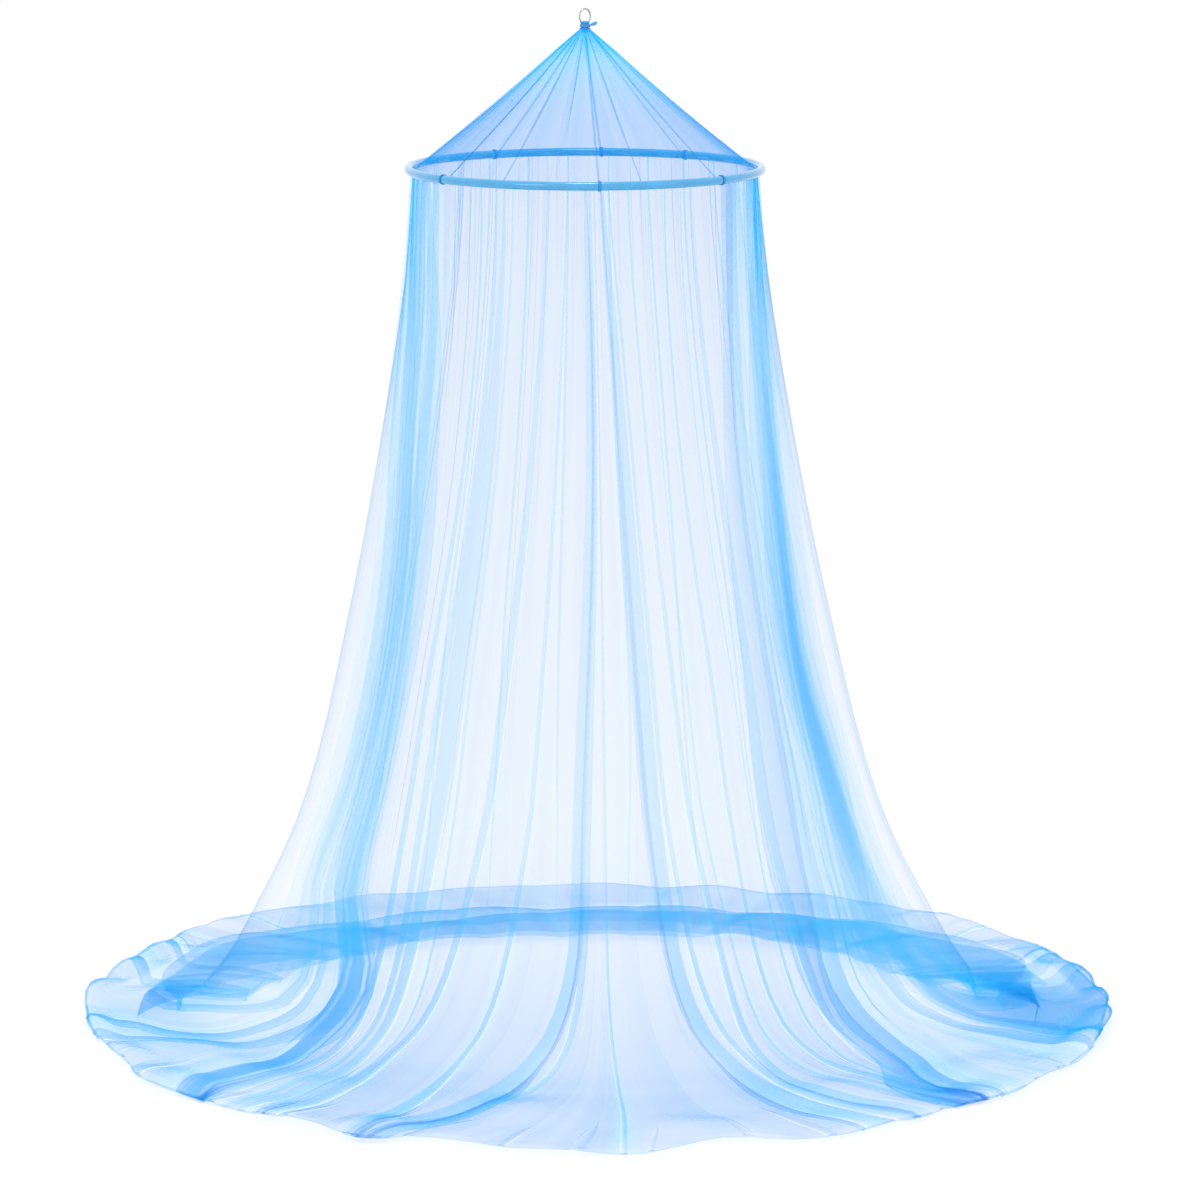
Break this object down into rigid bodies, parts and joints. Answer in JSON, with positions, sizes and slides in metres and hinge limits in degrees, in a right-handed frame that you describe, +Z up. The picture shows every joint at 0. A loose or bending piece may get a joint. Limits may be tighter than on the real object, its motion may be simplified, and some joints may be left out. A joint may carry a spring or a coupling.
{
  "type": "mosquito net canopy with hoop and hanging ring",
  "caption": "Hanging mosquito net: a cone of sheer blue net under a steel ring, a round plastic hoop, and a long gathered net wall that spreads in folds on the floor.",
  "frame": {"origin": "top of the opening of the hanging ring, where a ceiling hook holds the canopy; the floor is 1.840 m below", "axes": "+Z up, +X to the right and -Y to the front, as the picture shows it"},
  "size_m": [1.9047, 1.9054, 1.8432],
  "materials": {
    "net": "sheer blue knitted net",
    "gathered_net": "blue net bundled tight",
    "tube": "glossy blue plastic tube",
    "tape": "narrow blue woven tape",
    "cord": "grey blue twisted cord",
    "steel": "drawn steel wire"
  },
  "bodies": {
    "root": {"hanging_ring": "steel", "apex_knot": "gathered_net", "binding_cord": "cord", "crown_net": "net", "hoop": "tube", "hoop_tie_1": "tape", "hoop_tie_2": "tape", "hoop_tie_3": "tape", "hoop_tie_4": "tape", "hoop_tie_5": "tape", "hoop_tie_6": "tape", "wall_net": "net"}
  },
  "joints": []
}
